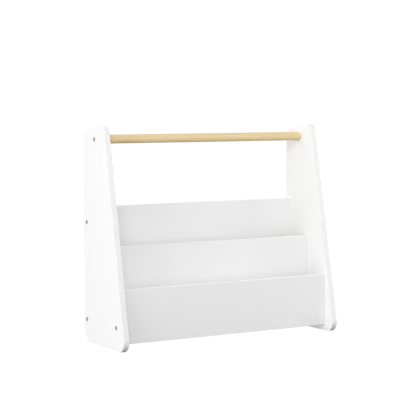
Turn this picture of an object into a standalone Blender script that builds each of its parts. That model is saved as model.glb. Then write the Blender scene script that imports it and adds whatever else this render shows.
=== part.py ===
"""Free-standing magazine rack, as the separate pieces it is assembled from.

Two tapered side panels carry a back, a middle and a front panel, which rise in steps
towards the back, a bottom board that closes the pockets below, and a round handle rod.
Bolts through the sides pull on barrel nuts in the panels and on threaded inserts in the
rod, and wooden pins locate the boards.

Metres, +Z up. The origin is on the floor under the middle of the rack, +X is the rack's
right as seen from the front, and the front faces -Y. Depths are measured forward from
the upright back edge of the side panels, and heights up from the floor.
"""

import math

import bmesh
import bpy
from mathutils import Matrix, Vector

# ---- driving dimensions -------------------------------------------------------------

WIDTH = 0.691                  # over both side panels
BOARD = 0.016                  # thickness of every board
GAP = 0.0003                   # between pieces that touch

# The corners of a side panel before rounding, and the radius of each.
FLOOR_DEPTH = 0.2495
TOP_DEPTH = 0.126
BACK_HEIGHT = 0.5806
FRONT_HEIGHT = 0.6031
FLOOR_BACK_RADIUS = 0.039
FLOOR_FRONT_RADIUS = 0.030
TOP_FRONT_RADIUS = 0.020
TOP_BACK_RADIUS = 0.022

# The cross boards: the depth of each one's rear face, and its lower and upper edge.
UNDERSIDE = 0.018
BACK_PANEL_DEPTH = 0.011
BACK_PANEL_TOP = 0.375
MIDDLE_PANEL_DEPTH = 0.100
MIDDLE_PANEL_TOP = 0.269
FRONT_PANEL_DEPTH = 0.189
FRONT_PANEL_TOP = 0.164

EDGE_ROUNDING = 0.001          # on the boards' lacquered edges
EDGE_ROUNDING_STEPS = 2

ROD_RADIUS = 0.0125
ROD_END_ROUNDING = 0.002
ROD_DEPTH = 0.067
ROD_HEIGHT = 0.563
ROD_BORE_LENGTH = 0.038        # in each end, for the insert and the bolt's tip

# Countersunk bolt with a hexagonal socket.
BOLT_RADIUS = 0.003
BOLT_LENGTH = 0.050
BOLT_TIP_CHAMFER = 0.0007
HEAD_RADIUS = 0.006
HEAD_RIM = 0.0004
HEAD_RECESS = 0.0002           # the head lies this far below the lacquer
SOCKET_FLATS = 0.004
SOCKET_DEPTH = 0.0025
LOWER_BOLT_INSET = 0.045       # from a panel's lower edge to its bolt
UPPER_BOLT_INSET = 0.042       # from the back panel's upper edge to its bolt

# Barrel nut, lying across a panel's thickness.
NUT_RADIUS = 0.005
NUT_LENGTH = 0.012
NUT_CHAMFER = 0.0006
NUT_SLOT_WIDTH = 0.0014
NUT_SLOT_DEPTH = 0.0015
NUT_INSET = 0.030              # from a panel's end to the middle of the nut

# Threaded insert in each end of the rod.
INSERT_RADIUS = 0.0045
INSERT_LENGTH = 0.015
INSERT_CHAMFER = 0.0005

# Wooden pin.
PIN_RADIUS = 0.004
PIN_LENGTH = 0.030
PIN_CHAMFER = 0.0008
PIN_IN_SIDE = 0.010            # how far a pin goes into a side panel
BACK_PIN_HEIGHT = 0.197
MIDDLE_LOWER_PIN_HEIGHT = 0.095
MIDDLE_UPPER_PIN_HEIGHT = 0.223
FRONT_PIN_HEIGHT = 0.127
BOTTOM_REAR_PIN_DEPTH = 0.060
BOTTOM_FRONT_PIN_DEPTH = 0.156

# How finely round shapes are divided.
ROD_FACETS = 32
METAL_FACETS = 20
PIN_FACETS = 16
CORNER_STEP = math.radians(10)
FINE_CORNER_STEP = math.radians(45)
ROD_END_STEPS = 3
SHARP_ANGLE = math.radians(30)
WELD = 0.00001                 # joins vertices that lie in the same place

# ---- sizes and places worked out from them ------------------------------------------

INNER_X = WIDTH / 2 - BOARD            # inner face of a side panel
END_X = INNER_X - GAP                  # end of a cross board or of the rod
HEAD_X = WIDTH / 2 - HEAD_RECESS       # outer face of a bolt's head

LEAN = math.atan((FLOOR_DEPTH - TOP_DEPTH) / FRONT_HEIGHT)
DEPTH = FLOOR_DEPTH - FLOOR_FRONT_RADIUS * (math.tan(LEAN) + 1 / math.cos(LEAN) - 1)

BACK_PANEL_CENTRE = BACK_PANEL_DEPTH + BOARD / 2
MIDDLE_PANEL_CENTRE = MIDDLE_PANEL_DEPTH + BOARD / 2
FRONT_PANEL_CENTRE = FRONT_PANEL_DEPTH + BOARD / 2
BOTTOM_BOARD_CENTRE = UNDERSIDE + BOARD / 2
LOWER_BOLT_HEIGHT = UNDERSIDE + LOWER_BOLT_INSET
UPPER_BOLT_HEIGHT = BACK_PANEL_TOP - UPPER_BOLT_INSET

SIDES = {"left": -1, "right": 1}

# Each panel bolt and each pin: the board that it holds, its depth and its height.
PANEL_BOLTS = {
    "back_upper": ("back_panel", BACK_PANEL_CENTRE, UPPER_BOLT_HEIGHT),
    "back_lower": ("back_panel", BACK_PANEL_CENTRE, LOWER_BOLT_HEIGHT),
    "front": ("front_panel", FRONT_PANEL_CENTRE, LOWER_BOLT_HEIGHT),
}
PINS = {
    "back": ("back_panel", BACK_PANEL_CENTRE, BACK_PIN_HEIGHT),
    "middle_lower": ("middle_panel", MIDDLE_PANEL_CENTRE, MIDDLE_LOWER_PIN_HEIGHT),
    "middle_upper": ("middle_panel", MIDDLE_PANEL_CENTRE, MIDDLE_UPPER_PIN_HEIGHT),
    "front": ("front_panel", FRONT_PANEL_CENTRE, FRONT_PIN_HEIGHT),
    "bottom_rear": ("bottom_board", BOTTOM_REAR_PIN_DEPTH, BOTTOM_BOARD_CENTRE),
    "bottom_front": ("bottom_board", BOTTOM_FRONT_PIN_DEPTH, BOTTOM_BOARD_CENTRE),
}

# ---- finishes: name, colour, roughness, metallic -------------------------------------

WHITE_LACQUER = ("white_lacquer", (0.86, 0.86, 0.86), 0.42, 0.0)
PALE_WOOD = ("pale_wood", (0.73, 0.53, 0.28), 0.55, 0.0)
PIN_WOOD = ("pin_wood", (0.66, 0.47, 0.28), 0.7, 0.0)
ZINC_STEEL = ("zinc_steel", (0.55, 0.56, 0.58), 0.35, 1.0)

# ---- the scene's collections ---------------------------------------------------------

for old in list(bpy.data.objects):
    bpy.data.objects.remove(old)

rack = bpy.data.collections.new("magazine_rack")
cutters = bpy.data.collections.new("cutters")
for group in (rack, cutters):
    bpy.context.scene.collection.children.link(group)


# ---- placing and cutting -------------------------------------------------------------

def at(x, depth, height):
    """World position of a point given by its depth from the back edge."""
    return Vector((x, DEPTH / 2 - depth, height))


def outward(sign):
    """Rotation that turns +Z to point out of the rack's left (-1) or right (1) side."""
    return (0.0, sign * math.pi / 2, 0.0)


def add_piece(name, mesh, finish, location, rotation):
    """Puts a piece in the rack's collection, with a material of its own."""
    slot, colour, roughness, metallic = finish
    material = bpy.data.materials.new(f"{name}_{slot}")
    material.use_nodes = True
    shader = material.node_tree.nodes["Principled BSDF"]
    shader.inputs["Base Color"].default_value = (*colour, 1.0)
    shader.inputs["Roughness"].default_value = roughness
    shader.inputs["Metallic"].default_value = metallic
    mesh.materials.append(material)
    piece = bpy.data.objects.new(name, mesh)
    piece.location = location
    piece.rotation_euler = rotation
    rack.objects.link(piece)
    return piece


def add_cutter(name, mesh, location=(0.0, 0.0, 0.0), rotation=(0.0, 0.0, 0.0)):
    """Puts a cutting shape in the cutters' collection."""
    cutter = bpy.data.objects.new("cut_" + name, mesh)
    cutter.location = location
    cutter.rotation_euler = rotation
    cutter.hide_render = True
    cutter.display_type = "WIRE"
    cutters.objects.link(cutter)
    return cutter


def cut(piece, cutter):
    """Takes the cutter's shape out of the piece."""
    boolean = piece.modifiers.new(cutter.name, "BOOLEAN")
    boolean.operation = "DIFFERENCE"
    boolean.solver = "EXACT"
    boolean.object = cutter


def finished_mesh(blank):
    """The mesh of an object with its modifiers applied. The object is removed."""
    bpy.context.view_layer.update()
    evaluated = blank.evaluated_get(bpy.context.evaluated_depsgraph_get())
    mesh = bpy.data.meshes.new_from_object(evaluated)
    bpy.data.objects.remove(blank)
    return mesh


def carved_mesh(mesh, shapes):
    """A mesh with other meshes, moved to their places, taken out of it."""
    blank = bpy.data.objects.new(mesh.name, mesh)
    rack.objects.link(blank)
    tools = [add_cutter(shape.name, shape) for shape in shapes]
    for tool in tools:
        cut(blank, tool)
    carved = finished_mesh(blank)
    for tool in tools:
        bpy.data.objects.remove(tool)
    return carved


# ---- boards --------------------------------------------------------------------------

def rounded_outline(corners, step):
    """Points around a convex outline given as (x, y, radius), listed anticlockwise."""
    points = []
    for index, (x, y, radius) in enumerate(corners):
        corner = Vector((x, y))
        to_last = (Vector(corners[index - 1][:2]) - corner).normalized()
        to_next = (Vector(corners[(index + 1) % len(corners)][:2]) - corner).normalized()
        half_angle = to_last.angle(to_next) / 2
        centre = corner + (to_last + to_next).normalized() * radius / math.sin(half_angle)
        first = corner + to_last * radius / math.tan(half_angle) - centre
        start = math.atan2(first.y, first.x)
        sweep = math.pi - 2 * half_angle
        steps = round(sweep / step)
        for index_on_arc in range(steps + 1):
            angle = start + sweep * index_on_arc / steps
            points.append(centre + radius * Vector((math.cos(angle), math.sin(angle))))
    return points


def board_mesh(name, outline, thickness):
    """A flat outline made solid, half its thickness to each side of its plane."""
    curve = bpy.data.curves.new(name, "CURVE")
    curve.dimensions = "2D"
    curve.fill_mode = "BOTH"
    curve.extrude = thickness / 2
    spline = curve.splines.new("POLY")
    spline.points.add(len(outline) - 1)
    for point, (x, y) in zip(spline.points, outline):
        point.co = (x, y, 0.0, 1.0)
    spline.use_cyclic_u = True
    blank = bpy.data.objects.new(name, curve)
    rack.objects.link(blank)
    mesh = finished_mesh(blank)
    solid = bmesh.new()
    solid.from_mesh(mesh)
    bmesh.ops.remove_doubles(solid, verts=solid.verts, dist=WELD)
    bmesh.ops.recalc_face_normals(solid, faces=solid.faces)
    solid.to_mesh(mesh)
    solid.free()
    return mesh


def add_board(name, outline, x, thickness):
    """A board whose outline, given in depth and height, stands across the X axis."""
    mesh = board_mesh(name, outline, thickness)
    return add_piece(name, mesh, WHITE_LACQUER, at(x, 0.0, 0.0), (math.pi / 2, 0.0, -math.pi / 2))


def add_side_panel(side, sign):
    """One tapered side panel, the rims of both faces eased."""
    outline = rounded_outline([
        (0.0, 0.0, FLOOR_BACK_RADIUS),
        (FLOOR_DEPTH, 0.0, FLOOR_FRONT_RADIUS),
        (TOP_DEPTH, FRONT_HEIGHT, TOP_FRONT_RADIUS),
        (0.0, BACK_HEIGHT, TOP_BACK_RADIUS),
    ], CORNER_STEP)
    panel = add_board("side_panel_" + side, outline, sign * (WIDTH - BOARD) / 2, BOARD)
    easing = panel.modifiers.new("eased rims", "BEVEL")
    easing.width = EDGE_ROUNDING
    easing.segments = EDGE_ROUNDING_STEPS
    easing.limit_method = "ANGLE"
    easing.angle_limit = SHARP_ANGLE
    return panel


def add_cross_board(name, rear, front, lower, upper):
    """One board from side to side, its four long edges eased."""
    outline = rounded_outline([
        (rear, lower, EDGE_ROUNDING),
        (front, lower, EDGE_ROUNDING),
        (front, upper, EDGE_ROUNDING),
        (rear, upper, EDGE_ROUNDING),
    ], FINE_CORNER_STEP)
    return add_board(name, outline, 0.0, 2 * END_X)


def add_boards():
    """The two side panels and the four boards between them, by name."""
    boards = {"side_" + side: add_side_panel(side, sign) for side, sign in SIDES.items()}
    floor_top = UNDERSIDE + BOARD
    back_face = BACK_PANEL_DEPTH + BOARD
    middle_face = MIDDLE_PANEL_DEPTH + BOARD
    front_face = FRONT_PANEL_DEPTH + BOARD
    for name, rear, front, lower, upper in (
        ("back_panel", BACK_PANEL_DEPTH, back_face, UNDERSIDE, BACK_PANEL_TOP),
        ("middle_panel", MIDDLE_PANEL_DEPTH, middle_face, floor_top + GAP, MIDDLE_PANEL_TOP),
        ("front_panel", FRONT_PANEL_DEPTH, front_face, UNDERSIDE, FRONT_PANEL_TOP),
        ("bottom_board", back_face + GAP, FRONT_PANEL_DEPTH - GAP, UNDERSIDE, floor_top),
    ):
        boards[name] = add_cross_board(name, rear, front, lower, upper)
    return boards


# ---- turned pieces -------------------------------------------------------------------

def turned_mesh(name, profile, facets, closed=False):
    """A profile of (radius, height), top to bottom on its outer side, turned about Z."""
    mesh = bpy.data.meshes.new(name)
    edges = [(index, index + 1) for index in range(len(profile) - 1)]
    if closed:
        edges.append((len(profile) - 1, 0))
    mesh.from_pydata([(radius, 0.0, height) for radius, height in profile], edges, [])
    blank = bpy.data.objects.new(name, mesh)
    rack.objects.link(blank)
    screw = blank.modifiers.new("turned", "SCREW")
    screw.steps = facets
    screw.render_steps = facets
    screw.use_merge_vertices = True
    screw.merge_threshold = WELD
    turned = finished_mesh(blank)
    turned.shade_smooth()
    turned.set_sharp_from_angle(angle=SHARP_ANGLE)
    return turned


def rod_end_profile():
    """The end of the handle rod from its bore to its skin, its rim rounded."""
    insert_bore = INSERT_RADIUS + GAP
    tip_bore = BOLT_RADIUS + GAP
    insert_end = END_X - INSERT_LENGTH - GAP
    profile = [
        (0.0, END_X - ROD_BORE_LENGTH),
        (tip_bore, END_X - ROD_BORE_LENGTH),
        (tip_bore, insert_end),
        (insert_bore, insert_end),
        (insert_bore, END_X),
    ]
    for step in range(ROD_END_STEPS + 1):
        angle = math.pi / 2 * step / ROD_END_STEPS
        radius = ROD_RADIUS - ROD_END_ROUNDING * (1 - math.sin(angle))
        height = END_X - ROD_END_ROUNDING * (1 - math.cos(angle))
        profile.append((radius, height))
    return profile


def insert_profile():
    """A sleeve that the handle's bolt runs into, its mouth at the top."""
    bore = BOLT_RADIUS + GAP
    rim = INSERT_RADIUS - INSERT_CHAMFER
    return [
        (bore, 0.0),
        (rim, 0.0),
        (INSERT_RADIUS, -INSERT_CHAMFER),
        (INSERT_RADIUS, INSERT_CHAMFER - INSERT_LENGTH),
        (rim, -INSERT_LENGTH),
        (bore, -INSERT_LENGTH),
    ]


def bolt_profile(gap=0.0, above=0.0):
    """A countersunk bolt, its head's face at the top, or the hole that clears it."""
    rim = HEAD_RADIUS + gap
    shank = BOLT_RADIUS + gap
    rim_end = -HEAD_RIM - gap
    tip = -BOLT_LENGTH - gap
    return [
        (0.0, above),
        (rim, above),
        (rim, rim_end),
        (shank, rim_end - (rim - shank)),
        (shank, tip + BOLT_TIP_CHAMFER),
        (shank - BOLT_TIP_CHAMFER, tip),
        (0.0, tip),
    ]


def pin_profile(radius, length, chamfer):
    """A plain round pin with chamfered ends, centred on its length."""
    half = length / 2
    return [
        (0.0, half),
        (radius - chamfer, half),
        (radius, half - chamfer),
        (radius, chamfer - half),
        (radius - chamfer, -half),
        (0.0, -half),
    ]


def hole_profile(radius, top, bottom):
    """A plain round hole."""
    return [(0.0, top), (radius, top), (radius, bottom), (0.0, bottom)]


def bolt_mesh():
    """A bolt with a hexagonal socket in its head."""
    corner_radius = SOCKET_FLATS / 2 / math.cos(math.pi / 6)
    shape = bmesh.new()
    bmesh.ops.create_cone(
        shape, cap_ends=True, segments=6,
        radius1=corner_radius, radius2=corner_radius, depth=2 * SOCKET_DEPTH)
    socket = bpy.data.meshes.new("hex_socket")
    shape.to_mesh(socket)
    shape.free()
    return carved_mesh(turned_mesh("bolt", bolt_profile(), METAL_FACETS), [socket])


def nut_mesh():
    """A barrel nut: a short bar with a cross bore for its bolt and a slotted end."""
    bar = turned_mesh("nut", pin_profile(NUT_RADIUS, NUT_LENGTH, NUT_CHAMFER), METAL_FACETS)
    bore_profile = hole_profile(BOLT_RADIUS + GAP, 2 * NUT_RADIUS, -2 * NUT_RADIUS)
    bore = turned_mesh("nut_bore", bore_profile, METAL_FACETS)
    bore.transform(Matrix.Rotation(math.pi / 2, 4, "Y"))
    shape = bmesh.new()
    bmesh.ops.create_cube(shape, size=1.0)
    slot = bpy.data.meshes.new("nut_slot")
    shape.to_mesh(slot)
    shape.free()
    slot.transform(Matrix.Diagonal((4 * NUT_RADIUS, NUT_SLOT_WIDTH, 2 * NUT_SLOT_DEPTH, 1.0)))
    slot.transform(Matrix.Translation((0.0, 0.0, NUT_LENGTH / 2)))
    return carved_mesh(bar, [bore, slot])


# ---- the rod and the fittings --------------------------------------------------------

def add_rod():
    """The handle rod, with a threaded insert in each end."""
    upper = rod_end_profile()
    lower = [(radius, -height) for radius, height in reversed(upper)]
    rod = turned_mesh("handle_rod", upper + lower, ROD_FACETS)
    add_piece("handle_rod", rod, PALE_WOOD, at(0.0, ROD_DEPTH, ROD_HEIGHT), outward(1))
    for side, sign in SIDES.items():
        insert = turned_mesh("rod_insert", insert_profile(), METAL_FACETS, closed=True)
        place = at(sign * END_X, ROD_DEPTH, ROD_HEIGHT)
        add_piece("rod_insert_" + side, insert, ZINC_STEEL, place, outward(sign))


def add_bolts(boards):
    """The bolts through each side panel, with a hole in each board that they pass."""
    bolt = bolt_mesh()
    hole = turned_mesh("bolt_hole", bolt_profile(GAP, BOARD), METAL_FACETS)
    bolts = {"handle": (None, ROD_DEPTH, ROD_HEIGHT), **PANEL_BOLTS}
    for side, sign in SIDES.items():
        for name, (board, depth, height) in bolts.items():
            label = f"{name}_{side}"
            place = at(sign * HEAD_X, depth, height)
            add_piece("bolt_" + label, bolt.copy(), ZINC_STEEL, place, outward(sign))
            cutter = add_cutter("bolt_hole_" + label, hole, place, outward(sign))
            cut(boards["side_" + side], cutter)
            if board:
                cut(boards[board], cutter)


def add_nuts(boards):
    """The barrel nuts, each in a hole that is open at its panel's rear face."""
    nut = nut_mesh()
    bottom = -NUT_LENGTH / 2 - GAP
    hole = turned_mesh("nut_hole", hole_profile(NUT_RADIUS + GAP, BOARD, bottom), METAL_FACETS)
    facing_rear = (-math.pi / 2, 0.0, 0.0)
    for side, sign in SIDES.items():
        for name, (board, depth, height) in PANEL_BOLTS.items():
            label = f"{name}_{side}"
            place = at(sign * (END_X - NUT_INSET), depth, height)
            add_piece("barrel_nut_" + label, nut.copy(), ZINC_STEEL, place, facing_rear)
            cut(boards[board], add_cutter("nut_hole_" + label, hole, place, facing_rear))


def add_pins(boards):
    """The wooden pins, each half hidden in a side panel and half in a cross board."""
    pin = turned_mesh("pin", pin_profile(PIN_RADIUS, PIN_LENGTH, PIN_CHAMFER), PIN_FACETS)
    end = PIN_LENGTH / 2 + GAP
    hole = turned_mesh("pin_hole", hole_profile(PIN_RADIUS + GAP, end, -end), PIN_FACETS)
    for side, sign in SIDES.items():
        for name, (board, depth, height) in PINS.items():
            label = f"{name}_{side}"
            place = at(sign * (INNER_X + PIN_IN_SIDE - PIN_LENGTH / 2), depth, height)
            add_piece("pin_" + label, pin.copy(), PIN_WOOD, place, outward(sign))
            cutter = add_cutter("pin_hole_" + label, hole, place, outward(sign))
            cut(boards["side_" + side], cutter)
            cut(boards[board], cutter)


all_boards = add_boards()
add_rod()
add_bolts(all_boards)
add_nuts(all_boards)
add_pins(all_boards)
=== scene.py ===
# The looks of a free-standing magazine rack: white lacquered boards, a pale wooden
# handle rod, zinc-plated bolts, barrel nuts and inserts, and beech pins, on a plain
# pale floor in soft studio light. Each piece stands for one node of the CAD model.
import math

import bmesh
import bpy
from mathutils import Matrix, Vector


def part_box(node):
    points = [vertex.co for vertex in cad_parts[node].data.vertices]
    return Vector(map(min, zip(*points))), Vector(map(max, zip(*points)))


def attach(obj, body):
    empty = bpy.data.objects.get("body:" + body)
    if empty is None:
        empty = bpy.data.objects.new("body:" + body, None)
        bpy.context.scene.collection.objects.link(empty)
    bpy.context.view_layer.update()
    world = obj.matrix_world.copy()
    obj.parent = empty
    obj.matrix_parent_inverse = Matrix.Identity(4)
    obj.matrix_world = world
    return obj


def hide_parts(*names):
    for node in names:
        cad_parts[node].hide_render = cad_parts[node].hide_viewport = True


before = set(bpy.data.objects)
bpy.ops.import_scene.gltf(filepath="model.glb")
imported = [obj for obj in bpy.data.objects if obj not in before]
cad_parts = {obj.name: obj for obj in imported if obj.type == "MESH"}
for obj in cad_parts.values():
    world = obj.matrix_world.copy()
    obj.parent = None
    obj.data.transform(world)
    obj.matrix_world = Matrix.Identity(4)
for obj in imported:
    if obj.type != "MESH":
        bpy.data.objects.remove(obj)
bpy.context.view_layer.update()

# ---- the shape of the pieces, in metres ----------------------------------------------

# The corners of a side panel before rounding, as depth from its back edge, height and
# radius, listed from the floor at the back.
SIDE_CORNERS = [
    (0.0, 0.0, 0.039),
    (0.2495, 0.0, 0.030),
    (0.126, 0.6031, 0.020),
    (0.0, 0.5806, 0.022),
]
SIDE_RIM_ROUNDING = 0.0005
BOARD_EDGE_ROUNDING = 0.0010
GAP = 0.0003                   # between pieces that touch

ROD_END_ROUNDING = 0.002
ROD_BORE_LENGTH = 0.038        # in each end of the rod
BORE_CHAMFER = 0.0004

HEAD_RIM = 0.0004              # height of the rim of a bolt's head
HEAD_FILLET = 0.0002
HEAD_FILLET_STEPS = 2
SHANK_RADIUS = 0.003
THREAD_DEPTH = 0.0004
THREAD_PITCH = 0.001
THREAD_LENGTH = 0.026
THREAD_RUN_OUT = 0.0015        # where the thread fades into the plain shank
TIP_CHAMFER = 0.0007
SOCKET_SIDES = 6
SOCKET_FLATS = 0.004
SOCKET_DEPTH = 0.0025
SOCKET_LEAD_IN = 0.0003        # chamfer round the mouth of the socket
LEAD_IN_ABOVE = 0.001          # how far this chamfer's cutter runs on out of the head
LEAD_IN_BELOW = 0.0004         # and how far into the socket
DRILL_INSET = 0.0001           # from the socket's flats to the drilled point below them
DRILL_OVERLAP = 0.0002         # of the point's cutter with the socket's
DRILL_TIP_RADIUS = 0.0002

NUT_CHAMFER = 0.0006
NUT_SLOT_WIDTH = 0.0014
NUT_SLOT_DEPTH = 0.0015

INSERT_RIDGES = 5
INSERT_RIDGE_DEPTH = 0.0006
INSERT_CREST = 0.2             # share of a ridge where its crest ends
INSERT_VALLEY = (0.5, 0.7)     # shares of a ridge between which its valley runs
INSERT_CHAMFER = 0.0005

PIN_CHAMFER = 0.0008
PIN_FLUTES = 12
PIN_FLUTE_DEPTH = 0.00035
PIN_FACETS = 8 * PIN_FLUTES

ROD_FACETS = 96
METAL_FACETS = 48
ROWS_PER_PITCH = 6
CORNER_STEP = math.radians(3)
EDGE_STEPS = 5                 # across a rounded edge of a board
ROD_EDGE_STEPS = 10
SHARP_ANGLE = math.radians(32)

SIDES = {"left": -1, "right": 1}
PANEL_BOLTS = ("back_upper", "back_lower", "front")
BOLT_PLACES = ("handle",) + PANEL_BOLTS
PIN_PLACES = ("back", "middle_lower", "middle_upper", "front", "bottom_rear", "bottom_front")
CROSS_BOARDS = ("back_panel", "middle_panel", "front_panel", "bottom_board")

# ---- camera ---------------------------------------------------------------------------

EYE = (-1.9817, -3.3236, 0.6711)
CAMERA_YAW = math.radians(30.595)      # to the right of straight ahead
CAMERA_PITCH = math.radians(2.787)     # downward
LENS = 118.70
SHIFT_Y = -0.10


# ---- building meshes ------------------------------------------------------------------

def outline(corners, step, inset=0.0):
    """Points (depth, height) round a convex outline of (x, y, radius) corners, which
    are listed anticlockwise. An inset draws the whole outline in by that much."""
    points = []
    for index, (x, y, radius) in enumerate(corners):
        corner = Vector((x, y))
        to_last = (Vector(corners[index - 1][:2]) - corner).normalized()
        to_next = (Vector(corners[(index + 1) % len(corners)][:2]) - corner).normalized()
        half_angle = to_last.angle(to_next) / 2
        centre = corner + (to_last + to_next).normalized() * radius / math.sin(half_angle)
        first = corner + to_last * radius / math.tan(half_angle) - centre
        start = math.atan2(first.y, first.x)
        sweep = math.pi - 2 * half_angle
        steps = max(2, round(sweep / step))
        for place in range(steps + 1):
            angle = start + sweep * place / steps
            points.append(centre + (radius - inset) * Vector((math.cos(angle), math.sin(angle))))
    return points


def circle(radius, height, facets):
    """A ring of points about the Z axis. The radius may be a function of the angle."""
    ring = []
    for index in range(facets):
        angle = 2 * math.pi * index / facets
        size = radius(angle) if callable(radius) else radius
        ring.append((size * math.cos(angle), size * math.sin(angle), height))
    return ring


def loft(name, rings, closed=False, open_top=False):
    """A skin over rings of points. The first and last ring are capped with flat faces,
    or joined to each other if the loft is closed on itself. An open top has no cap."""
    shape = bmesh.new()
    rows = [[shape.verts.new(point) for point in ring] for ring in rings]
    pairs = list(zip(rows, rows[1:]))
    if closed:
        pairs.append((rows[-1], rows[0]))
    else:
        shape.faces.new(rows[0])
        if not open_top:
            shape.faces.new(rows[-1])
    for lower, upper in pairs:
        for index, vertex in enumerate(lower):
            after = (index + 1) % len(lower)
            shape.faces.new((vertex, lower[after], upper[after], upper[index]))
    bmesh.ops.recalc_face_normals(shape, faces=shape.faces)
    mesh = bpy.data.meshes.new(name)
    shape.to_mesh(mesh)
    shape.free()
    return mesh


def turned(name, profile, facets, closed=False, open_top=False):
    """A profile of (radius, height) turned about the Z axis."""
    rings = [circle(radius, height, facets) for radius, height in profile]
    return loft(name, rings, closed, open_top)


def block(name, low, high):
    """A rectangular block between two corners."""
    rings = []
    for z in (low[2], high[2]):
        rings.append([(low[0], low[1], z), (high[0], low[1], z),
                      (high[0], high[1], z), (low[0], high[1], z)])
    return loft(name, rings)


def arc(radius, steps):
    """(inset, rise) of points along a quarter round, from its foot to its top."""
    for step in range(steps + 1):
        angle = math.pi / 2 * step / steps
        yield radius * (1 - math.cos(angle)), radius * math.sin(angle)


def placed(mesh, place):
    """A copy of a mesh, moved by a matrix."""
    moved = mesh.copy()
    moved.transform(place)
    return moved


def carved(mesh, cutters, inside=None):
    """A mesh with other meshes taken out of it. The cut faces take the inside material,
    if there is one."""
    blank = bpy.data.objects.new(mesh.name, mesh)
    bpy.context.scene.collection.objects.link(blank)
    tools = []
    for cutter in cutters:
        if inside:
            cutter.materials.clear()
            cutter.materials.append(inside)
        tool = bpy.data.objects.new("cutter", cutter)
        bpy.context.scene.collection.objects.link(tool)
        boolean = blank.modifiers.new("cut", "BOOLEAN")
        boolean.operation = "DIFFERENCE"
        boolean.solver = "EXACT"
        boolean.material_mode = "TRANSFER" if inside else "INDEX"
        boolean.object = tool
        tools.append(tool)
    bpy.context.view_layer.update()
    evaluated = blank.evaluated_get(bpy.context.evaluated_depsgraph_get())
    result = bpy.data.meshes.new_from_object(evaluated)
    for obj in [blank] + tools:
        bpy.data.objects.remove(obj)
    return result


def add_piece(node, mesh, material, place=None):
    """Shows a mesh in place of a CAD node, smooth but for its sharp edges."""
    if material.name not in mesh.materials:
        mesh.materials.clear()
        mesh.materials.append(material)
    mesh.shade_smooth()
    mesh.set_sharp_from_angle(angle=SHARP_ANGLE)
    piece = bpy.data.objects.new(node + "_finished", mesh)
    bpy.context.scene.collection.objects.link(piece)
    if place:
        piece.matrix_world = place
    weighting = piece.modifiers.new("even flats", "WEIGHTED_NORMAL")
    weighting.keep_sharp = True
    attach(piece, "root")
    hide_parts(node)


# ---- places taken from the CAD model --------------------------------------------------

def middle(node):
    """The middle of a CAD node's box."""
    low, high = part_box(node)
    return (low + high) / 2


def facing_out(x, node, sign):
    """Matrix that turns +Z out of the rack's side, at a given X on a node's axis."""
    centre = middle(node)
    place = Matrix.Translation((x, centre.y, centre.z))
    return place @ Matrix.Rotation(sign * math.pi / 2, 4, "Y")


def facing_rear(node):
    """Matrix that turns +Z towards the back of the rack, at the middle of a node."""
    return Matrix.Translation(middle(node)) @ Matrix.Rotation(-math.pi / 2, 4, "X")


def outer_x(node, sign):
    """The X of a node's end on the rack's left (-1) or right (1)."""
    low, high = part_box(node)
    return high.x if sign > 0 else low.x


def boxes_meet(first, second):
    """Whether the boxes of two CAD nodes meet."""
    first_low, first_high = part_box(first)
    second_low, second_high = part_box(second)
    return all(first_low[axis] <= second_high[axis] and second_low[axis] <= first_high[axis]
               for axis in range(3))


def fittings():
    """(kind, node, place) of every bolt, nut, insert and pin. The place turns +Z along
    the node's axis. It is at the outer end of a bolt or insert, and at the middle of a
    nut or pin."""
    for side, sign in SIDES.items():
        for name in BOLT_PLACES:
            node = f"bolt_{name}_{side}"
            yield "bolt", node, facing_out(outer_x(node, sign), node, sign)
        for name in PANEL_BOLTS:
            node = f"barrel_nut_{name}_{side}"
            yield "barrel_nut", node, facing_rear(node)
        node = "rod_insert_" + side
        yield "rod_insert", node, facing_out(outer_x(node, sign), node, sign)
        for name in PIN_PLACES:
            node = f"pin_{name}_{side}"
            yield "pin", node, facing_out(middle(node).x, node, sign)


# ---- materials ------------------------------------------------------------------------

WHITE = (1.0, 1.0, 1.0, 1.0)
SPRAY_SHARE = 0.25             # of the spray's grain in the relief of the lacquer

# How the trunk lies in a piece of wood. Its rings hardly change along the grain.
TRUNK_SCALE = (1.0, 1.0, 0.04)
TRUNK_LEAN = (math.radians(0.9), math.radians(1.4), 0.0)
TRUNK_SHIFT = (0.031, 0.017, 0.0)
RING_WANDER = 0.004            # how far the rings stray, in metres
WANDER_SCALE = (6.0, 6.0, 1.2)
WAVE_PERIOD = 2 * math.pi / 20     # gap between the rings of a Wave node at scale 1

# How fine the marks of wood are across the grain (X and Y) and along it (Z).
FIBRE_SCALE = (900.0, 900.0, 9.0)
STREAK_SCALE = (170.0, 170.0, 2.2)
FLECK_SCALE = (1500.0, 1500.0, 150.0)

# What the rings, fibres and streaks add to the tone of wood, and the range of their sum
# that goes from the light colour to the dark one.
RING_SHARE = 0.40
FIBRE_SHARE = 0.35
STREAK_SHARE = 0.45
TONE_RANGE = (0.32, 0.82)

FLECK_RANGE = (0.64, 0.74)     # of the noise, from no fleck to a full one
FLECK_STRENGTH = 0.5


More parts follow.
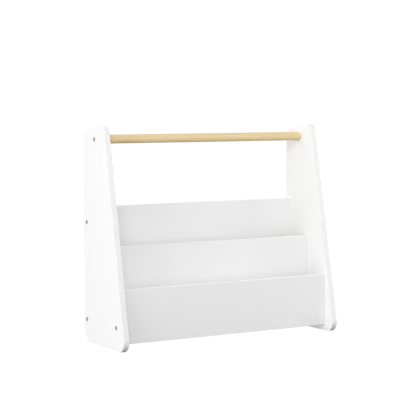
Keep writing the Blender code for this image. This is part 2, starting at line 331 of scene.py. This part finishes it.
class Shader:
    """A material's node tree, with a Principled shader that reads object coordinates."""

    def __init__(self, name):
        self.material = bpy.data.materials.new(name)
        self.material.use_nodes = True
        self.tree = self.material.node_tree
        self.surface = self.tree.nodes["Principled BSDF"]
        self.place = self.add("ShaderNodeTexCoord").outputs["Object"]

    def add(self, kind, inputs=None, **settings):
        """A node with its settings, and its inputs either set or linked."""
        node = self.tree.nodes.new(kind)
        for name, value in settings.items():
            setattr(node, name, value)
        for name, value in (inputs or {}).items():
            self.feed(node.inputs[name], value)
        return node

    def feed(self, socket, value):
        """Links a socket to another node's output, or sets its value."""
        if isinstance(value, bpy.types.NodeSocket):
            self.tree.links.new(value, socket)
        else:
            socket.default_value = value

    def set(self, **values):
        """Sets or links the Principled shader's sockets."""
        for name, value in values.items():
            self.feed(self.surface.inputs[name.replace("_", " ")], value)

    def stretched(self, scale, turn=(0.0, 0.0, 0.0), shift=(0.0, 0.0, 0.0)):
        """The object's coordinates, moved, turned and stretched."""
        return self.add("ShaderNodeMapping", {
            "Vector": self.place,
            "Location": shift,
            "Rotation": turn,
            "Scale": scale,
        }).outputs["Vector"]

    def noise(self, vector, scale, detail, roughness=0.5):
        """Cloudy noise between 0 and 1."""
        return self.add("ShaderNodeTexNoise", {
            "Vector": vector,
            "Scale": scale,
            "Detail": detail,
            "Roughness": roughness,
        }).outputs["Fac"]

    def span(self, value, low, high, source=(0.0, 1.0)):
        """A value carried from a source range to low and high, and held between them."""
        return self.add("ShaderNodeMapRange", {
            "Value": value,
            "From Min": source[0],
            "From Max": source[1],
            "To Min": low,
            "To Max": high,
        }).outputs["Result"]

    def maths(self, operation, first, second):
        """One operation on two values."""
        node = self.add("ShaderNodeMath", operation=operation)
        self.feed(node.inputs[0], first)
        self.feed(node.inputs[1], second)
        return node.outputs["Value"]

    def mix(self, factor, first, second):
        """Two colours blended by a factor."""
        node = self.add("ShaderNodeMix", data_type="RGBA")
        self.feed(node.inputs["Factor"], factor)
        self.feed(node.inputs[6], first)
        self.feed(node.inputs[7], second)
        return node.outputs[2]

    def bump(self, height, depth):
        """A normal from a height between 0 and 1, which stands for a depth in metres."""
        return self.add("ShaderNodeBump", {
            "Height": height,
            "Distance": depth,
            "Strength": 1.0,
        }).outputs["Normal"]


def white_lacquer():
    """Sprayed satin lacquer, with faint mottling, orange peel and patches of sheen."""
    shader = Shader("white_lacquer")
    cloud = shader.noise(shader.place, scale=7.0, detail=3.0)
    cool = (0.938, 0.939, 0.941, 1.0)
    warm = (0.953, 0.952, 0.950, 1.0)
    peel = shader.noise(shader.place, scale=420.0, detail=2.0)
    spray = shader.noise(shader.place, scale=2600.0, detail=1.0)
    height = shader.maths("ADD", peel, shader.maths("MULTIPLY", spray, SPRAY_SHARE))
    patches = shader.noise(shader.place, scale=24.0, detail=4.0)
    shader.set(
        Base_Color=shader.mix(cloud, cool, warm),
        Roughness=shader.span(patches, 0.40, 0.50),
        Normal=shader.bump(height, depth=0.00003),
        Specular_IOR_Level=0.45,
    )
    return shader.material


def raw_fibreboard():
    """The brown core of the boards, bare in the drilled holes."""
    shader = Shader("raw_fibreboard")
    fibre = shader.noise(shader.place, scale=3200.0, detail=4.0, roughness=0.7)
    dark = (0.36, 0.24, 0.14, 1.0)
    light = (0.56, 0.41, 0.27, 1.0)
    shader.set(
        Base_Color=shader.mix(fibre, dark, light),
        Roughness=0.9,
        Normal=shader.bump(fibre, depth=0.00012),
    )
    return shader.material


def growth_rings(shader, ring_gap):
    """The rings of the trunk, along local Z but a little off it, and bent by chance."""
    trunk = shader.stretched(TRUNK_SCALE, turn=TRUNK_LEAN, shift=TRUNK_SHIFT)
    wander = shader.add("ShaderNodeTexNoise", {
        "Vector": shader.stretched(WANDER_SCALE),
        "Scale": 5.0,
        "Detail": 3.0,
    })
    offset = shader.add("ShaderNodeVectorMath", operation="SCALE")
    shader.feed(offset.inputs[0], wander.outputs["Color"])
    offset.inputs["Scale"].default_value = RING_WANDER
    bent = shader.add("ShaderNodeVectorMath", operation="ADD")
    shader.feed(bent.inputs[0], trunk)
    shader.feed(bent.inputs[1], offset.outputs["Vector"])
    return shader.add("ShaderNodeTexWave", {
        "Vector": bent.outputs["Vector"],
        "Scale": WAVE_PERIOD / ring_gap,
        "Distortion": 1.6,
        "Detail": 2.0,
        "Detail Scale": 1.4,
    }, wave_type="RINGS", rings_direction="Z", wave_profile="SAW").outputs["Fac"]


def wood(name, light, dark, fleck, ring_gap, roughness, coat):
    """Wood whose grain runs along local Z, with rings, fibres, streaks and ray flecks."""
    shader = Shader(name)
    rings = growth_rings(shader, ring_gap)
    along_fibres = shader.stretched(FIBRE_SCALE)
    fibres = shader.noise(along_fibres, scale=1.0, detail=4.0, roughness=0.65)
    streaks = shader.noise(shader.stretched(STREAK_SCALE), scale=1.0, detail=3.0)
    flecks = shader.noise(shader.stretched(FLECK_SCALE), scale=1.0, detail=1.0)
    tone = shader.maths("ADD", shader.maths("MULTIPLY", rings, RING_SHARE),
                        shader.maths("MULTIPLY", fibres, FIBRE_SHARE))
    tone = shader.maths("ADD", tone, shader.maths("MULTIPLY", streaks, STREAK_SHARE))
    tone = shader.span(tone, 0.0, 1.0, TONE_RANGE)
    colour = shader.mix(tone, light, dark)
    fleck_mask = shader.span(flecks, 0.0, FLECK_STRENGTH, FLECK_RANGE)
    colour = shader.mix(fleck_mask, colour, fleck)
    relief = shader.maths("SUBTRACT", fibres, fleck_mask)
    shader.set(
        Base_Color=colour,
        Roughness=shader.span(fibres, roughness - 0.05, roughness + 0.07),
        Normal=shader.bump(relief, depth=0.00006),
        Specular_IOR_Level=0.15,
        Coat_Weight=coat,
        Coat_Roughness=0.35,
    )
    return shader.material


def zinc_steel():
    """Zinc-plated steel with fine turning marks round local Z and a faint patchiness."""
    shader = Shader("zinc_steel")
    marks = shader.add("ShaderNodeTexWave", {
        "Vector": shader.place,
        "Scale": 1500.0,
        "Distortion": 2.0,
        "Detail": 2.0,
    }, wave_type="RINGS", rings_direction="Z").outputs["Fac"]
    cloud = shader.noise(shader.place, scale=600.0, detail=3.0)
    dull = (0.45, 0.455, 0.46, 1.0)
    bright = (0.60, 0.605, 0.61, 1.0)
    shader.set(
        Base_Color=shader.mix(cloud, dull, bright),
        Metallic=1.0,
        Roughness=shader.span(cloud, 0.28, 0.42),
        Normal=shader.bump(marks, depth=0.000006),
    )
    return shader.material


def stage_paint():
    """Plain, matt and pale, with the faintest unevenness, and lit from within."""
    shader = Shader("stage_paint")
    cloud = shader.noise(shader.place, scale=3.0, detail=2.0)
    dark = (0.21, 0.21, 0.21, 1.0)
    light = (0.23, 0.23, 0.23, 1.0)
    shader.set(
        Base_Color=shader.mix(cloud, dark, light),
        Roughness=0.9,
        Emission_Color=WHITE,
        Emission_Strength=STAGE_GLOW,
        Specular_IOR_Level=0.1,
    )
    return shader.material


LACQUER = white_lacquer()
FIBREBOARD = raw_fibreboard()
PALE_WOOD = wood(
    "pale_wood",
    light=(0.91, 0.74, 0.45, 1.0),
    dark=(0.82, 0.62, 0.345, 1.0),
    fleck=(0.94, 0.81, 0.57, 1.0),
    ring_gap=0.0026,
    roughness=0.50,
    coat=0.03,
)
PIN_WOOD = wood(
    "pin_wood",
    light=(0.74, 0.55, 0.36, 1.0),
    dark=(0.58, 0.39, 0.23, 1.0),
    fleck=(0.40, 0.24, 0.13, 1.0),
    ring_gap=0.0018,
    roughness=0.72,
    coat=0.0,
)
STEEL = zinc_steel()


# ---- holes ----------------------------------------------------------------------------

def bolt_sizes():
    """(head radius, length) of a bolt."""
    low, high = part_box("bolt_handle_left")
    return (high.z - low.z) / 2, high.x - low.x


def bolt_hole():
    """The countersunk hole of a bolt, its mouth at local z = 0 and open above it."""
    head, length = bolt_sizes()
    rim = head + GAP
    shank = SHANK_RADIUS + GAP
    rim_end = -HEAD_RIM - GAP
    return turned("bolt_hole", [
        (rim, length / 2),
        (rim, rim_end),
        (shank, rim_end - (rim - shank)),
        (shank, -length - GAP),
    ], METAL_FACETS)


def nut_hole():
    """The blind hole of a barrel nut, centred on the nut and open above it."""
    low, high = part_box("barrel_nut_front_left")
    radius = (high.x - low.x) / 2 + GAP
    half = (high.y - low.y) / 2 + GAP
    return turned("nut_hole", [(radius, 4 * half), (radius, -half)], METAL_FACETS)


def pin_hole():
    """The hole of a pin, centred on it."""
    low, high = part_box("pin_front_left")
    radius = (high.z - low.z) / 2 + GAP
    half = (high.x - low.x) / 2 + GAP
    return turned("pin_hole", [(radius, half), (radius, -half)], METAL_FACETS)


def holes_near(board):
    """Cutters for every bolt, nut and pin whose box meets a board's box."""
    blanks = {"bolt": bolt_hole(), "barrel_nut": nut_hole(), "pin": pin_hole()}
    return [placed(blanks[kind], place) for kind, node, place in fittings()
            if kind in blanks and boxes_meet(node, board)]


# ---- boards ---------------------------------------------------------------------------

def board_rings(corners, back_y, step, stations):
    """Rings of an outline of depth and height, at stations of (x, inset)."""
    return [
        [(x, back_y - depth, height) for depth, height in outline(corners, step, inset)]
        for x, inset in stations
    ]


def add_side_panel(side):
    """A tapered side panel with rounded corners, its rims eased on both faces."""
    node = "side_panel_" + side
    low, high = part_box(node)
    stations = [(low.x + SIDE_RIM_ROUNDING - rise, inset)
                for inset, rise in arc(SIDE_RIM_ROUNDING, EDGE_STEPS)][::-1]
    stations += [(high.x - SIDE_RIM_ROUNDING + rise, inset)
                 for inset, rise in arc(SIDE_RIM_ROUNDING, EDGE_STEPS)]
    mesh = loft(node, board_rings(SIDE_CORNERS, high.y, CORNER_STEP, stations))
    mesh.materials.append(LACQUER)
    add_piece(node, carved(mesh, holes_near(node), FIBREBOARD), LACQUER)


def add_cross_board(node):
    """A board between the sides, its long edges eased and its ends cut square."""
    low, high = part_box(node)
    corners = [
        (0.0, low.z, BOARD_EDGE_ROUNDING),
        (high.y - low.y, low.z, BOARD_EDGE_ROUNDING),
        (high.y - low.y, high.z, BOARD_EDGE_ROUNDING),
        (0.0, high.z, BOARD_EDGE_ROUNDING),
    ]
    stations = [(low.x, 0.0), (high.x, 0.0)]
    step = math.pi / 2 / EDGE_STEPS
    mesh = loft(node, board_rings(corners, high.y, step, stations))
    mesh.materials.append(LACQUER)
    add_piece(node, carved(mesh, holes_near(node), FIBREBOARD), LACQUER)


# ---- the rod --------------------------------------------------------------------------

def add_rod():
    """The handle rod, with rounded rims and a stepped bore in each end."""
    node = "handle_rod"
    low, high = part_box(node)
    half = (high.x - low.x) / 2
    radius = (high.z - low.z) / 2
    insert_low, insert_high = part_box("rod_insert_right")
    bore = (insert_high.z - insert_low.z) / 2 + GAP
    bore_end = half - (insert_high.x - insert_low.x) - GAP
    tip_bore = SHANK_RADIUS + GAP
    end = [
        (tip_bore, half - ROD_BORE_LENGTH),
        (tip_bore, bore_end),
        (bore, bore_end),
        (bore, half - BORE_CHAMFER),
        (bore + BORE_CHAMFER, half),
    ]
    for inset, rise in list(arc(ROD_END_ROUNDING, ROD_EDGE_STEPS))[::-1]:
        end.append((radius - inset, half - ROD_END_ROUNDING + rise))
    other_end = [(r, -z) for r, z in reversed(end)]
    mesh = turned(node, end + other_end, ROD_FACETS)
    add_piece(node, mesh, PALE_WOOD, facing_out(0.0, node, 1))


def insert_mesh():
    """A threaded insert, its mouth at the origin, with coarse outer ridges."""
    low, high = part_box("rod_insert_left")
    radius = (high.z - low.z) / 2
    length = high.x - low.x
    bore = SHANK_RADIUS + GAP
    valley = radius - INSERT_RIDGE_DEPTH
    profile = [(bore, 0.0), (radius - INSERT_CHAMFER, 0.0), (radius, -INSERT_CHAMFER)]
    ridge = (length - 2 * INSERT_CHAMFER) / INSERT_RIDGES
    for index in range(INSERT_RIDGES):
        top = -INSERT_CHAMFER - index * ridge
        profile.append((radius, top - INSERT_CREST * ridge))
        profile += [(valley, top - share * ridge) for share in INSERT_VALLEY]
        profile.append((radius, top - ridge))
    profile += [(radius - INSERT_CHAMFER, -length), (bore, -length)]
    return turned("rod_insert", profile, METAL_FACETS, closed=True)


# ---- bolts, nuts and pins -------------------------------------------------------------

def thread_radius(z, length):
    """A bolt's radius as a function of the angle, at a height in its threaded part."""
    from_tip = z + length
    fade = min(1.0, (THREAD_LENGTH - from_tip) / THREAD_RUN_OUT)
    chamfer = max(0.0, TIP_CHAMFER - from_tip)

    def radius(angle):
        turn = (z / THREAD_PITCH - angle / (2 * math.pi)) % 1.0
        valley = 1 - abs(2 * turn - 1)
        return SHANK_RADIUS - max(chamfer, fade * valley * THREAD_DEPTH)

    return radius


def bolt_blank():
    """A countersunk bolt without its socket, the face of its head at the origin."""
    head, length = bolt_sizes()
    cone_end = -HEAD_RIM - (head - SHANK_RADIUS)
    rings = [circle(head - inset, -HEAD_FILLET + rise, METAL_FACETS)
             for inset, rise in list(arc(HEAD_FILLET, HEAD_FILLET_STEPS))[::-1]]
    rings.append(circle(head, -HEAD_RIM, METAL_FACETS))
    rings.append(circle(SHANK_RADIUS, cone_end, METAL_FACETS))
    rows = round(THREAD_LENGTH / THREAD_PITCH * ROWS_PER_PITCH)
    for row in range(rows + 1):
        z = -length + THREAD_LENGTH * (1 - row / rows)
        rings.append(circle(thread_radius(z, length), z, METAL_FACETS))
    return loft("bolt", rings)


def bolt_mesh():
    """A countersunk bolt with a chamfered hex socket that ends in a drilled point."""
    flat = SOCKET_FLATS / 2
    corner = flat / math.cos(math.pi / SOCKET_SIDES)
    socket = turned("hex_socket", [
        (corner, -SOCKET_DEPTH),
        (corner, SOCKET_DEPTH),
    ], SOCKET_SIDES)
    mouth = turned("socket_mouth", [
        (corner + SOCKET_LEAD_IN + LEAD_IN_ABOVE, LEAD_IN_ABOVE),
        (corner - LEAD_IN_BELOW, -SOCKET_LEAD_IN - LEAD_IN_BELOW),
    ], METAL_FACETS)
    point = turned("socket_point", [
        (flat - DRILL_INSET, -SOCKET_DEPTH + DRILL_OVERLAP),
        (flat - DRILL_INSET, -SOCKET_DEPTH),
        (DRILL_TIP_RADIUS, -SOCKET_DEPTH - flat / 2),
    ], METAL_FACETS)
    return carved(bolt_blank(), [socket, mouth, point])


def nut_mesh():
    """A barrel nut lying on local Z: chamfered ends, a cross bore and a slotted end."""
    low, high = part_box("barrel_nut_front_left")
    radius = (high.x - low.x) / 2
    half = (high.y - low.y) / 2
    bar = turned("barrel_nut", [
        (radius - NUT_CHAMFER, half),
        (radius, half - NUT_CHAMFER),
        (radius, NUT_CHAMFER - half),
        (radius - NUT_CHAMFER, -half),
    ], METAL_FACETS)
    bore_radius = SHANK_RADIUS + GAP
    bore = turned("nut_bore", [(bore_radius, 2 * radius), (bore_radius, -2 * radius)], METAL_FACETS)
    bore.transform(Matrix.Rotation(math.pi / 2, 4, "Y"))
    slot = block(
        "nut_slot",
        (-2 * radius, -NUT_SLOT_WIDTH / 2, half - NUT_SLOT_DEPTH),
        (2 * radius, NUT_SLOT_WIDTH / 2, half + NUT_SLOT_DEPTH),
    )
    return carved(bar, [bore, slot])


def pin_mesh():
    """A fluted wooden pin with chamfered ends, centred on its length."""
    low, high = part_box("pin_front_left")
    radius = (high.z - low.z) / 2
    half = (high.x - low.x) / 2

    def fluted(inset):
        def size(angle):
            groove = max(0.0, math.cos(PIN_FLUTES * angle)) ** 2
            return radius - max(inset, groove * PIN_FLUTE_DEPTH)
        return size

    return turned("pin", [
        (fluted(PIN_CHAMFER), half),
        (fluted(0.0), half - PIN_CHAMFER),
        (fluted(0.0), PIN_CHAMFER - half),
        (fluted(PIN_CHAMFER), -half),
    ], PIN_FACETS)


def add_fittings():
    """Every bolt, nut, insert and pin, each on the axis of its CAD node."""
    finishes = {
        "bolt": (bolt_mesh(), STEEL, "zinc_steel"),
        "barrel_nut": (nut_mesh(), STEEL, "zinc_steel"),
        "rod_insert": (insert_mesh(), STEEL, "zinc_steel"),
        "pin": (pin_mesh(), PIN_WOOD, "pin_wood"),
    }
    for kind, node, place in fittings():
        mesh, material, slot = finishes[kind]
        add_piece(node, mesh, material, place)


# ---- the studio -----------------------------------------------------------------------

STAGE_RADIUS = 6.0
STAGE_COVE = 3.0               # radius of the curve from the floor into the wall
STAGE_HEIGHT = 8.0
STAGE_CENTRE = 0.01            # radius of the small flat in the middle of the floor
STAGE_FACETS = 64
COVE_STEPS = 16
STAGE_GLOW = 0.96              # the stage is lit from within, like a light table
FLOOR_DROP = 0.0002            # keeps the floor just clear of the side panels' feet

# Brightness of the surroundings towards each side of the rack.
SURROUNDINGS_PLUS = (0.10, 0.75, 0.0)       # right, rear, ceiling
SURROUNDINGS_MINUS = (0.98, 0.25, 0.0)      # left, front, ground

SOFTBOX_AIM = Vector((0.0, 0.0, 0.3))
SOFTBOX_SPREAD = math.radians(30)      # how wide a softbox looks from the rack
# (azimuth from the front towards the right, elevation, distance, watts), in degrees
# and metres
SOFTBOXES = {
    "front": (-30, 28, 3.0, 34.5),
    "front_top": (0, 62, 2.3, 4.7),
    "front_right": (25, 8, 2.3, 7.3),
    "right": (60, 8, 2.3, 13.0),
    "left": (-75, 5, 2.8, 19.0),
    "rear_top": (-175, 62, 3.2, 39.0),
}


def add_stage():
    """A pale round stage whose floor curves up into its wall. It shows behind the rack
    and takes its shadow, and throws no light on it."""
    profile = [(STAGE_CENTRE, -FLOOR_DROP), (STAGE_RADIUS, -FLOOR_DROP)]
    for inset, rise in arc(STAGE_COVE, COVE_STEPS):
        profile.append((STAGE_RADIUS + rise, inset - FLOOR_DROP))
    profile.append((STAGE_RADIUS + STAGE_COVE, STAGE_HEIGHT))
    mesh = turned("studio_stage", profile, STAGE_FACETS, open_top=True)
    mesh.materials.append(stage_paint())
    stage = bpy.data.objects.new("studio_stage", mesh)
    stage.visible_diffuse = False
    stage.visible_glossy = False
    stage.visible_transmission = False
    stage.visible_shadow = False
    bpy.context.scene.collection.objects.link(stage)


def half_lobes(tree, direction, sign, brightness):
    """Light from along +X, +Y and +Z, or from the other way for a sign of -1. Each axis
    has its own brightness, which fades with the square of the cosine."""
    facing = tree.nodes.new("ShaderNodeVectorMath")
    facing.operation = "SCALE"
    facing.inputs["Scale"].default_value = sign
    tree.links.new(direction, facing.inputs[0])
    half = tree.nodes.new("ShaderNodeVectorMath")
    half.operation = "MAXIMUM"
    half.inputs[1].default_value = (0.0, 0.0, 0.0)
    tree.links.new(facing.outputs["Vector"], half.inputs[0])
    square = tree.nodes.new("ShaderNodeVectorMath")
    square.operation = "MULTIPLY"
    tree.links.new(half.outputs["Vector"], square.inputs[0])
    tree.links.new(half.outputs["Vector"], square.inputs[1])
    share = tree.nodes.new("ShaderNodeVectorMath")
    share.operation = "DOT_PRODUCT"
    share.inputs[1].default_value = brightness
    tree.links.new(square.outputs["Vector"], share.inputs[0])
    return share.outputs["Value"]


def add_surroundings():
    """Soft white light from round the rack, with its own brightness towards each side."""
    world = bpy.data.worlds.new("studio")
    world.use_nodes = True
    tree = world.node_tree
    direction = tree.nodes.new("ShaderNodeTexCoord").outputs["Generated"]
    total = tree.nodes.new("ShaderNodeMath")
    total.operation = "ADD"
    tree.links.new(half_lobes(tree, direction, 1, SURROUNDINGS_PLUS), total.inputs[0])
    tree.links.new(half_lobes(tree, direction, -1, SURROUNDINGS_MINUS), total.inputs[1])
    background = tree.nodes["Background"]
    background.inputs["Color"].default_value = WHITE
    tree.links.new(total.outputs["Value"], background.inputs["Strength"])
    bpy.context.scene.world = world


def add_softbox(name, azimuth, elevation, distance, watts):
    """A square softbox that faces the rack."""
    light = bpy.data.lights.new(name, "AREA")
    light.shape = "SQUARE"
    light.size = 2 * distance * math.tan(SOFTBOX_SPREAD / 2)
    light.energy = watts
    turn = math.radians(azimuth)
    tilt = math.radians(elevation)
    outward = Vector((
        math.cos(tilt) * math.sin(turn),
        -math.cos(tilt) * math.cos(turn),
        math.sin(tilt),
    ))
    softbox = bpy.data.objects.new("softbox_" + name, light)
    softbox.location = SOFTBOX_AIM + distance * outward
    softbox.rotation_euler = outward.to_track_quat("Z", "Y").to_euler()
    softbox.visible_camera = False
    bpy.context.scene.collection.objects.link(softbox)


def add_camera():
    """A long lens from the front left, a little above the rack."""
    camera = bpy.data.cameras.new("camera")
    camera.lens = LENS
    camera.shift_y = SHIFT_Y
    obj = bpy.data.objects.new("camera", camera)
    obj.location = EYE
    obj.rotation_euler = (math.pi / 2 - CAMERA_PITCH, 0.0, -CAMERA_YAW)
    bpy.context.scene.collection.objects.link(obj)
    bpy.context.scene.camera = obj


for side in SIDES:
    add_side_panel(side)
for node in CROSS_BOARDS:
    add_cross_board(node)
add_rod()
add_fittings()
add_stage()
add_surroundings()
for name, settings in SOFTBOXES.items():
    add_softbox(name, *settings)
add_camera()
bpy.context.scene.view_settings.view_transform = "Standard"
